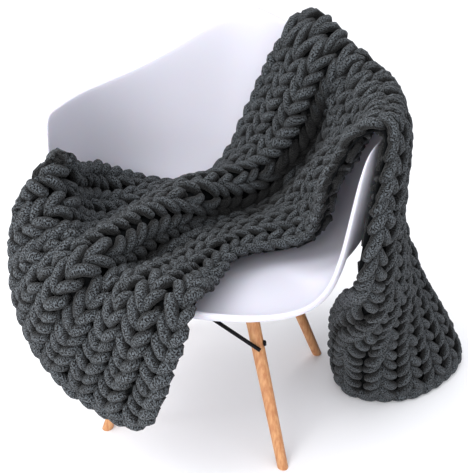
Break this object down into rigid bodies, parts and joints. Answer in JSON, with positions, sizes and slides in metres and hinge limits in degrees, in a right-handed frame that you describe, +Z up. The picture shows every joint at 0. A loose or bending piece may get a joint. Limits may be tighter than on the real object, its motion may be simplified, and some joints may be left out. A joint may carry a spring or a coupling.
{
  "type": "knit blanket draped over a shell chair",
  "caption": "Chunky knit blanket draped in a big fold over a plain moulded shell armchair with splayed wooden legs; its cast-off end hangs in front and the other end reaches the floor.",
  "frame": {"origin": "middle of the floor outline of everything built, on the floor", "axes": "+Z up, -Y towards the front of the chair, +X to the right seen from the front, where the blanket reaches the floor"},
  "size_m": [0.8773, 0.8047, 0.8211],
  "materials": {
    "chenille_yarn": "fuzzy matt chenille, charcoal grey",
    "moulded_plastic": "satin white",
    "beech_wood": "oiled",
    "blackened_steel": "satin black"
  },
  "bodies": {
    "root": {"blanket": "chenille_yarn", "chair_shell": "moulded_plastic", "seat_plate": "blackened_steel", "leg_front_left": "beech_wood", "rod_front_left": "blackened_steel", "bolt_front_left": "blackened_steel", "leg_front_right": "beech_wood", "rod_front_right": "blackened_steel", "bolt_front_right": "blackened_steel", "leg_back_left": "beech_wood", "rod_back_left": "blackened_steel", "bolt_back_left": "blackened_steel", "leg_back_right": "beech_wood", "rod_back_right": "blackened_steel", "bolt_back_right": "blackened_steel"}
  },
  "joints": []
}
